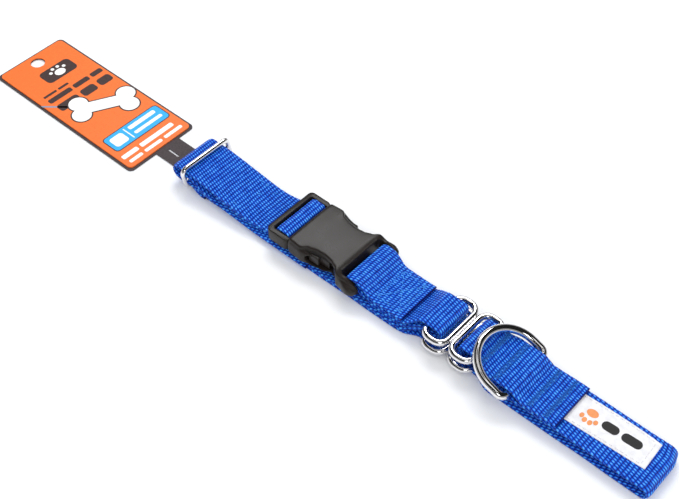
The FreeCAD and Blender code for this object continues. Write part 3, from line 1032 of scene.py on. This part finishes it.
def prism(name, outline, z_low, z_high, material):
    """Upright prism of an outline of ((x, y), corner radius), anticlockwise."""
    flat = []
    count = len(outline)
    corners = [Vector(place) for place, radius in outline]
    for index, corner in enumerate(corners):
        radius = outline[index][1]
        if radius == 0:
            flat.append(corner)
            continue
        flat += bend_points(corners[index - 1], corner, corners[(index + 1) % count], radius, 0.2)
    total = len(flat)
    vertices = [(point.x, point.y, z) for z in (z_low, z_high) for point in flat]
    faces = [tuple(reversed(range(total))), tuple(range(total, 2 * total))]
    faces += band(0, total, total)
    piece = new_piece(name, vertices, faces, material, smooth=False)
    face_outward(piece)
    return piece


def block(name, x_low, x_high, y_low, y_high, z_low, z_high, material, radius=0.0):
    outline = [((x_low, y_low), radius), ((x_high, y_low), radius),
               ((x_high, y_high), radius), ((x_low, y_high), radius)]
    return prism(name, outline, z_low, z_high, material)


def rod(name, x, z, radius, y_low, y_high, material):
    return tube_piece(name, [Vector((x, y_low, z)), Vector((x, y_high, z))], radius, material,
                      closed=False, sides=24)


def eased(table, x):
    """Smooth value from a table of (x, value)."""
    for (x_low, low), (x_high, high) in zip(table, table[1:]):
        if x <= x_high:
            return low + (high - low) * smooth_step(x, x_low, x_high)
    return table[-1][1]


shell_side = [(51.3, 11.9), (57.5, 12.2), (61.5, 11.3), (65.5, 10.6), (69.6, 9.2), (71.4, 9.9),
              (74.5, 12.2), (79.8, 13.4), (82.8, 12.4)]
shell_deck = [(51.3, 11.3), (56.8, 11.6), (59.6, 9.6), (62.5, 8.7), (66.0, 8.5), (69.0, 8.9),
              (72.0, 11.0), (74.5, 12.0), (79.5, 11.6), (82.8, 10.8)]
shell_top = [(51.3, 10.25), (52.0, 10.35), (72.5, 10.35), (77.0, 9.4), (82.8, 7.4)]
shell_bottom = [(51.3, 3.65), (75.0, 3.65), (82.8, 4.2)]
window_left = 59.3
window_right = 70.0
slot_left = 74.8
slot_half = 10.3
cavity_half = 10.6
cavity_low = 5.0
cavity_high = 9.0


def shell_section(x):
    """Half of the female half's outer section at x, from its bottom middle to its top middle."""
    side = eased(shell_side, x)
    deck = min(eased(shell_deck, x), side)
    top = eased(shell_top, x)
    bottom = eased(shell_bottom, x)
    shoulder = top - 0.55
    lower = bottom + 0.9
    crown = 0.18
    points = [(0.0, bottom), (side * 0.5, bottom), (side - 0.9, bottom), (side - 0.25, bottom + 0.22),
              (side, lower), (side, lower + 0.8)]
    for share, rise in ((0.0, 0.35), (0.15, 0.66), (0.45, 0.80), (0.85, 0.86)):
        y = side + (deck - side) * share
        z = lower + 0.8 + (shoulder - lower - 0.8) * rise
        points.append((y, z))
    points += [(deck, shoulder), (deck - 0.12, top - 0.2), (deck - 0.45, top - 0.03),
               (deck - 0.8, top)]
    for share in (0.75, 0.5, 0.25, 0.0):
        points.append(((deck - 0.8) * share, top + crown * (1 - share * share)))
    return points


def shell_solid():
    """The female half before its cavity, slot and windows are cut."""
    stations = []
    x = seam
    while x < female_right - 0.05:
        stations.append(x)
        x += 0.45
    stations.append(female_right)
    vertices = []
    for x in stations:
        inset = 0.35 * (1 - smooth_step(x, seam, seam + 0.8))
        inset += 1.3 * smooth_step(x, female_right - 1.4, female_right) ** 2
        half = shell_section(x)
        section = half + [(-y, z) for y, z in reversed(half[1:-1])]
        for y, z in section:
            y_in = y - math.copysign(min(abs(y), inset), y) if y else y
            z_in = buckle_mid + (z - buckle_mid) * (1 - 0.16 * inset)
            vertices.append((x, buckle_side + y_in, z_in))
    size = len(section)
    last = (len(stations) - 1) * size
    faces = []
    for first in range(0, last, size):
        faces += band(first, first + size, size)
    faces.append(tuple(reversed(range(size))))
    faces.append(tuple(range(last, last + size)))
    shell = new_piece("buckle_socket_half", vertices, faces, black_plastic, smooth=False)
    face_outward(shell)
    return shell


def window_cutter(sign):
    """A rounded, nearly oval bar that cuts one side window."""
    centre_x = (window_left + window_right) / 2
    half_x = (window_right - window_left) / 2
    centre_z = 6.4
    half_z = 2.15
    power = 0.8
    parts = 36
    vertices = []
    for reach in (6.9, 15.0):
        for part in range(parts):
            angle = 2 * math.pi * part / parts
            cos_part = math.copysign(abs(math.cos(angle)) ** power, math.cos(angle))
            sin_part = math.copysign(abs(math.sin(angle)) ** power, math.sin(angle))
            vertices.append((centre_x + half_x * cos_part, buckle_side + sign * reach,
                             centre_z + half_z * sin_part))
    faces = [tuple(range(parts)), tuple(range(parts, 2 * parts))]
    faces += band(0, parts, parts)
    cutter = new_piece("window_cut", vertices, faces, black_plastic, smooth=False)
    face_outward(cutter)
    return cutter


def make_buckle_female():
    shell = shell_solid()
    side = buckle_side
    cavity = block("cavity_cut", seam - 1, seam + 20.0, side - cavity_half, side + cavity_half,
                   cavity_low, cavity_high, black_plastic)
    slot = block("slot_cut", slot_left, female_right + 3, side - slot_half, side + slot_half,
                 0, 20, black_plastic, 1.2)
    cut_piece(shell, cavity, slot, window_cutter(-1), window_cutter(1))
    lip = block("socket_lip", slot_left - 0.5, slot_left - 0.02, side - slot_half + 1.0,
                side + slot_half - 1.0, buckle_mid + 1.5, eased(shell_top, slot_left) + 0.24,
                black_plastic)
    guides = [block("socket_guide", seam + 5.5, seam + 20.5, side + low, side + high,
                    cavity_low - 0.3, cavity_high + 0.3, black_plastic)
              for low, high in ((-4.4, -2.8), (2.8, 4.4))]
    bar = rod("socket_bar", female_bar_x, buckle_mid, 1.2, side - slot_half - 0.6,
              side + slot_half + 0.6, black_plastic)
    join_piece(shell, bar, lip, *guides)
    shell.data.shade_smooth()
    shell.data.set_sharp_from_angle(angle=math.radians(38))
    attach(shell, "short_strap")
    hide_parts("buckle_female")


def make_buckle_male():
    side = buckle_side
    rail_low = 4.1
    rail_high = 8.9
    right = seam - 0.2
    outer = 11.9
    body = block("buckle_plug_half", male_left, right, side - outer, side + outer,
                 rail_low, rail_high, black_plastic, 1.7)
    opening = block("opening_cut", male_left + 1.7, right + 3, side - 9.9, side + 9.9,
                    0, 20, black_plastic, 0.6)
    cut_piece(body, opening)
    cross = block("plug_cross", seam - 0.25, seam + 2.5, side - 10.1, side + 10.1,
                  5.35, 8.65, black_plastic)
    tongue = block("plug_tongue", seam + 2.0, seam + 15.5, side - 2.2, side + 2.2,
                   6.0, 8.0, black_plastic, 0.8)
    join_piece(body, cross, tongue)
    round_edges(body, 1.0)
    bar = rod("plug_webbing_bar", male_bar_x, buckle_mid, 1.2, side - 10.2, side + 10.2,
              black_plastic)
    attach(body, "buckle_strap")
    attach(bar, "buckle_strap")
    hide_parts("buckle_male")


def make_prong(name, node, body, sign):
    """Side arm whose stepped push button shows in the shell's window."""
    side = buckle_side
    prong_root_x = seam + 3.7
    prong_centre = 7.5
    inner = prong_centre - 1.1
    outer = prong_centre + 1.1
    tip_x = window_right - 1.5
    outline = [
        ((prong_root_x - 0.9, inner), 0.8),
        ((tip_x - 3.5, inner + 0.4), 0.5),
        ((tip_x, inner + 1.6), 0.8),
        ((tip_x, 9.0), 0.6),
        ((window_right - 5.0, 10.5), 2.0),
        ((window_left + 0.7, 10.5), 0.6),
        ((window_left + 0.7, outer), 0.4),
        ((prong_root_x - 0.9, outer), 0.8),
    ]
    outline = [((x, side + sign * y), radius) for (x, y), radius in outline]
    if sign < 0:
        outline.reverse()
    arm = prism(name, outline, 5.35, 8.65, black_plastic)
    y_step = side + sign * 9.0
    y_out = side + sign * 13.0
    step = block("step_cut", window_left + 5.4, tip_x + 1, min(y_step, y_out) - 0.01,
                 max(y_step, y_out), 0, 20, black_plastic)
    cut_piece(arm, step)
    round_edges(arm, 0.35)
    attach(arm, body)
    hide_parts(node)


make_buckle_female()
make_buckle_male()
make_prong("release_prong_near", "release_prong_near", "prong_near", -1)
make_prong("release_prong_far", "release_prong_far", "prong_far", 1)


# ---- header card and label --------------------------------------------------
card_left = -102.4
card_right = -21.9
card_side = -2.3
card_half = 16.6
card_top = 1.0
ink_lift = 0.03                 # each printed layer lies this much over the last
second_ink = card_top + 2 * ink_lift
third_ink = card_top + 3 * ink_lift


def ink_patch(name, points, material, z=card_top + ink_lift, body="tag"):
    """A thin printed patch: a closed outline of (x, y) points."""
    patch = prism(name, [(point, 0) for point in points], z - 0.06, z, material)
    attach(patch, body)


def rounded_outline(x_low, x_high, y_low, y_high, radius, parts=6):
    points = []
    for centre_x, centre_y, start in ((x_high - radius, y_high - radius, 0),
                                      (x_low + radius, y_high - radius, 90),
                                      (x_low + radius, y_low + radius, 180),
                                      (x_high - radius, y_low + radius, 270)):
        for part in range(parts + 1):
            angle = math.radians(start + 90 * part / parts)
            points.append((centre_x + radius * math.cos(angle), centre_y + radius * math.sin(angle)))
    return points


def oval(centre_x, centre_y, half_x, half_y, turn=0.0, parts=28):
    points = []
    for part in range(parts):
        angle = 2 * math.pi * part / parts
        x = half_x * math.cos(angle)
        y = half_y * math.sin(angle)
        points.append((centre_x + x * math.cos(turn) - y * math.sin(turn),
                       centre_y + x * math.sin(turn) + y * math.cos(turn)))
    return points


def card_layer(name, inset, radius, z_low, z_high, material):
    return block(name, card_left + inset, card_right - inset, card_side - card_half + inset,
                 card_side + card_half - inset, z_low, z_high, material, radius)


def hole_cutter(material):
    hole_x = card_left + 5.6
    ends = [Vector((hole_x, card_side, z)) for z in (-1, 3)]
    return tube_piece("hole_cut", ends, 3.0, material, closed=False, sides=48)


def make_card():
    back = card_layer("card_back_layer", 0.0, 2.0, 0.0, 0.5, card_dark)
    tail = block("card_tail", card_right - 4, -3.2, -5.8, 5.8, 0.0, 0.499, card_dark)
    join_piece(back, tail)
    slit = block("slit_cut", card_right + 1.7, card_right + 7.5, -1.5, -0.6, -1, 2, card_dark)
    cut_piece(back, slit, hole_cutter(card_dark))
    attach(back, "tag")
    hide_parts("card_back_board")
    front = card_layer("card_front_layer", 0.95, 1.8, 0.5, card_top, card_orange)
    cut_piece(front, hole_cutter(card_orange))
    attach(front, "tag")
    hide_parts("header_card")


def make_card_print():
    """Plain bars in place of wording, a bone and a leash in place of the pictures."""
    ink_patch("print_badge", rounded_outline(-90.5, -82.5, -7.5, 7.5, 2.0), ink_dark)
    paw = [oval(-85.6, 0.2, 1.9, 2.4)]
    for y, x in ((-3.1, -87.4), (-1.1, -88.9), (1.4, -88.9), (3.5, -87.4)):
        paw.append(oval(x, y, 0.75, 0.75))
    for index, points in enumerate(paw):
        ink_patch("print_paw_%d" % index, points, ink_white, second_ink)
    word_rows = [(-78.4, -77.2, ((-14.6, -8.2), (-7.2, -2.2))),
                 (-75.6, -73.0, ((-14.8, -3.4), (-2.2, 5.6), (6.8, 12.4))),
                 (-70.6, -66.2, ((-14.6, -4.4), (-2.8, 4.2), (5.8, 12.2)))]
    for row, (x_low, x_high, words) in enumerate(word_rows):
        for index, (y_low, y_high) in enumerate(words):
            radius = (x_high - x_low) * 0.3
            ink_patch("print_bar_%d_%d" % (row, index),
                      rounded_outline(x_low, x_high, y_low, y_high, radius), ink_dark)
    tilt = math.radians(62)
    centre = (-57.6, -0.8)

    def turned(x, y):
        return (centre[0] + x * math.cos(tilt) - y * math.sin(tilt),
                centre[1] + x * math.sin(tilt) + y * math.cos(tilt))

    for lift, grow, material, word in ((0.03, 0.55, ink_dark, "edge"), (0.06, 0.0, ink_white, "fill")):
        shaft = [turned(x, y) for x, y in rounded_outline(-9.0, 9.0, -3.0 - grow, 3.0 + grow, 0.5)]
        ink_patch("print_bone_shaft_" + word, shaft, material, card_top + lift)
        for index, (x, y) in enumerate(((-9.6, -3.3), (-9.6, 3.3), (9.6, -3.3), (9.6, 3.3))):
            knob_x, knob_y = turned(x, y)
            ink_patch("print_bone_knob_%s_%d" % (word, index),
                      oval(knob_x, knob_y, 3.9 + grow, 3.9 + grow), material,
                      card_top + lift + 0.004 * (index + 1))
    ink_patch("print_leash", [(-75.2, -18.3), (-74.0, -18.3), (-63.4, -9.3), (-64.2, -8.6)], ink_steel)
    ink_patch("print_panel_edge", rounded_outline(-42.4, -32.8, -15.6, 12.4, 1.7), ink_dark)
    ink_patch("print_panel", rounded_outline(-42.0, -33.2, -15.2, 12.0, 1.4), ink_blue,
              second_ink)
    ink_patch("print_panel_block", rounded_outline(-40.4, -34.8, -13.6, -7.4, 1.2), ink_white,
              third_ink)
    ink_patch("print_panel_rule", rounded_outline(-41.0, -34.2, -5.9, -5.4, 0.2), ink_white,
              third_ink)
    for index, (x_low, x_high, y_high) in enumerate(((-40.6, -38.6, 9.6), (-36.8, -35.2, 10.2))):
        ink_patch("print_panel_bar_%d" % index,
                  rounded_outline(x_low, x_high, -3.9, y_high, 0.7), ink_white, third_ink)
    for row, (x_low, x_high, words) in enumerate((
            (-30.2, -28.0, ((-16.4, -8.6), (-7.2, 9.4))),
            (-26.4, -24.8, ((-15.8, -9.4), (-8.0, 0.6), (2.0, 11.0))))):
        for index, (y_low, y_high) in enumerate(words):
            ink_patch("print_foot_%d_%d" % (row, index),
                      rounded_outline(x_low, x_high, y_low, y_high, 0.6), ink_white)


label_left = 163.4
label_length = 29.0
label_side = 1.6
label_half = 6.1
label_turn = math.radians(2.5)
label_base = loop_top + 0.62
label_top = label_base + 0.30
label_dip = 1.2                 # how far the far right corner is drawn in


def on_label(x, y):
    """A point x along the label and y across it, from its left end and middle."""
    return (label_left + x * math.cos(label_turn) - y * math.sin(label_turn),
            label_side + x * math.sin(label_turn) + y * math.cos(label_turn))


def make_label():
    """Sewn label: a satin patch that dips a little between its stitches."""
    columns = 60
    rows = 26
    vertices = []
    marks = []
    for column in range(columns + 1):
        for row in range(rows + 1):
            u = column / columns
            v = row / rows * 2 - 1
            x = label_length * u
            y = label_half * v - label_dip * u ** 3 * max(v, 0.0)
            puff = 0.10 * (1 - abs(v) ** 6) * (1 - (2 * u - 1) ** 10)
            puff += 0.06 * noise.noise(Vector((x * 0.22, y * 0.3, 7.0)))
            vertices.append((*on_label(x, y), label_base + 0.12 + puff))
            marks.append((x / weave_unit, y / weave_unit))
    faces = []
    for column in range(columns):
        for row in range(rows):
            start = column * (rows + 1) + row
            faces.append((start, start + rows + 1, start + rows + 2, start + 1))
    label = new_piece("woven_label_patch", vertices, faces, label_white)
    map_weave(label, marks)
    thick = label.modifiers.new("cloth", "SOLIDIFY")
    thick.thickness = 0.25 * MM
    thick.offset = -1
    bake(label)
    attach(label, "control_loop")
    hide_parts("woven_label")


def make_label_stitches():
    """A seam along each long edge and a short one across the right end."""
    edge = label_half - 0.8
    z = label_top - 0.08
    runs = []
    count = 14
    for sign in (-1, 1):
        for part in range(count):
            dip = label_dip * (part / count) ** 3 if sign > 0 else 0.0
            y = sign * edge - dip
            runs.append(((*on_label(0.8 + part * 1.9, y), z), (*on_label(2.0 + part * 1.9, y), z)))
    for part in range(5):
        y = part * 1.85 - edge
        runs.append(((*on_label(27.2, y + 0.5), z), (*on_label(27.2, y + 1.7), z)))
    thread = stitches_piece("label_edge_stitches", runs, 0.13, white_thread)
    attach(thread, "control_loop")
    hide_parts("label_stitching")


def make_label_print():
    """A paw and two plain bars in place of the mark."""
    paw = [oval(0, 1.2, 2.0, 1.5)]
    for x, y, size in ((-2.4, -2.0, 0.75), (-0.9, -3.0, 0.8), (1.0, -3.0, 0.8), (2.5, -1.9, 0.75)):
        paw.append(oval(x, y + 0.6, size, size * 1.25))
    for index, outline in enumerate(paw):
        points = [on_label(6.4 + x, y) for x, y in outline]
        ink_patch("label_paw_%d" % index, points, label_orange, label_top, "control_loop")
    for index, (x_low, x_high) in enumerate(((10.6, 16.4), (17.6, 24.6))):
        points = [on_label(x, y) for x, y in rounded_outline(x_low, x_high, -1.7, 1.7, 1.6)]
        ink_patch("label_bar_%d" % index, points, label_black, label_top, "control_loop")


make_card()
make_card_print()
make_label()
make_label_stitches()
make_label_print()
